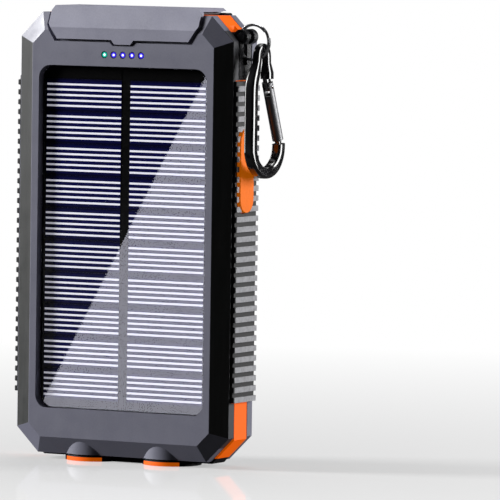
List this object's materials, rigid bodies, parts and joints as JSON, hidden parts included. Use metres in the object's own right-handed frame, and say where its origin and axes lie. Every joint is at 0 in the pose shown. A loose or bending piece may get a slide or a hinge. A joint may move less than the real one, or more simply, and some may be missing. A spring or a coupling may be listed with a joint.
{
  "type": "solar power bank",
  "caption": "Rugged pocket solar charger: panel front, hinged port cover, end torches, rear compass, side power button, split ring and carabiner.",
  "frame": {"origin": "centre of the flat foot pad between the two torch bezels, on the surface the case stands on", "axes": "+Z along the case towards the port end, -Y out of the solar panel, +X towards the power button and the carabiner"},
  "size_m": [0.0871, 0.0256, 0.1442],
  "materials": {
    "grey_shell": "fine satin texture",
    "grey_cover": "satin",
    "orange_frame": "satin",
    "black_rubber": "matt",
    "black_trim": "semi-gloss",
    "silver_trim": "satin painted",
    "solar_cell": "silicon cells with printed fingers",
    "clear_lens": "clear",
    "circuit_green": "solder mask",
    "component_black": "moulded",
    "steel": "plated",
    "reflector_chrome": "vacuum metallised",
    "led_yellow": "phosphor",
    "battery_wrap": "printed film",
    "red_lead": "insulated wire",
    "anodised_black": "gloss anodised aluminium",
    "anodised_grey": "satin anodised",
    "compass_card": "printed dial"
  },
  "bodies": {
    "case": {"front_cover": "grey_shell", "rear_cover": "grey_shell", "mid_frame": "orange_frame", "cover_hinge_pin": "steel", "hinge_knuckle_left": "black_trim", "hinge_knuckle_right": "black_trim", "solar_panel": "solar_cell", "panel_glass": "clear_lens", "indicator_light_pipe": "clear_lens", "indicator_led_strip": "led_yellow", "usb_socket_left": "steel", "usb_socket_right": "steel", "micro_usb_socket": "steel", "torch_lens_left": "clear_lens", "torch_lens_right": "clear_lens", "torch_reflector_left": "reflector_chrome", "torch_reflector_right": "reflector_chrome", "torch_led_board_left": "led_yellow", "torch_led_board_right": "led_yellow", "rear_grip_band_lower": "black_rubber", "rear_grip_band_upper": "black_rubber", "rear_chevron_lower": "silver_trim", "rear_chevron_upper": "silver_trim", "rear_rail_left": "silver_trim", "rear_rail_right": "silver_trim", "compass_trim": "black_trim", "compass_housing": "black_trim", "compass_pivot": "steel", "compass_dome": "clear_lens", "case_screw_bottom_left": "steel", "case_screw_bottom_right": "steel", "case_screw_top_left": "steel", "case_screw_top_right": "steel", "screw_cap_bottom_left": "grey_cover", "screw_cap_bottom_right": "grey_cover", "screw_cap_top_left": "grey_cover", "screw_cap_top_right": "grey_cover", "side_grip_left": "black_rubber", "side_grip_right": "black_rubber", "tact_switch": "component_black", "battery_cell_front": "battery_wrap", "battery_cell_rear": "battery_wrap", "circuit_board": "circuit_green", "boost_inductor": "component_black", "charge_controller": "component_black", "torch_lead": "red_lead", "battery_lead": "red_lead", "lanyard_bar": "steel", "lanyard_block": "black_trim"},
    "port_cover": {"port_cover": "grey_cover", "port_seal": "black_rubber"},
    "power_button": {"power_button": "orange_frame"},
    "switch_plunger": {"switch_plunger": "led_yellow"},
    "key_ring": {"key_ring": "steel"},
    "carabiner": {"carabiner_body": "anodised_black", "gate_pin": "steel"},
    "carabiner_gate": {"carabiner_gate": "anodised_grey", "gate_spring": "steel"},
    "compass_card": {"compass_card": "compass_card"}
  },
  "joints": [
    {"name": "port_cover_hinge", "type": "hinge", "parent": "case", "child": "port_cover", "pos_m": [0, 0.0084, 0.1412], "axis": [-1, 0, 0], "range_deg": [0, 130]},
    {"name": "power_button_press", "type": "slide", "parent": "case", "child": "power_button", "axis": [-1, 0, 0], "range_m": [0, 0.00045], "stiffness_N_per_m": 400, "springref_m": -0.0005},
    {"name": "switch_plunger_press", "type": "slide", "parent": "case", "child": "switch_plunger", "axis": [-1, 0, 0], "range_m": [0, 0.000225]},
    {"name": "key_ring_swing", "type": "hinge", "parent": "case", "child": "key_ring", "pos_m": [0.03844, 0, 0.13562], "axis": [0, -1, 0], "range_deg": [0, 90]},
    {"name": "carabiner_swing", "type": "hinge", "parent": "key_ring", "child": "carabiner", "pos_m": [0.0442, 0, 0.1294], "axis": [1, 0, 0], "range_deg": [-45, 45]},
    {"name": "carabiner_gate_hinge", "type": "hinge", "parent": "carabiner", "child": "carabiner_gate", "pos_m": [0.0442, 0.00424, 0.12011], "axis": [-1, 0, 0], "range_deg": [0, 25], "stiffness_Nm_per_rad": 0.02, "springref_deg": -17.19},
    {"name": "compass_card_turn", "type": "hinge", "parent": "case", "child": "compass_card", "pos_m": [0, 0.01, 0.1223], "axis": [0, 1, 0], "continuous": true}
  ],
  "couplings": [
    {"joint": "switch_plunger_press", "follows": "power_button_press", "ratio": 0.5}
  ]
}
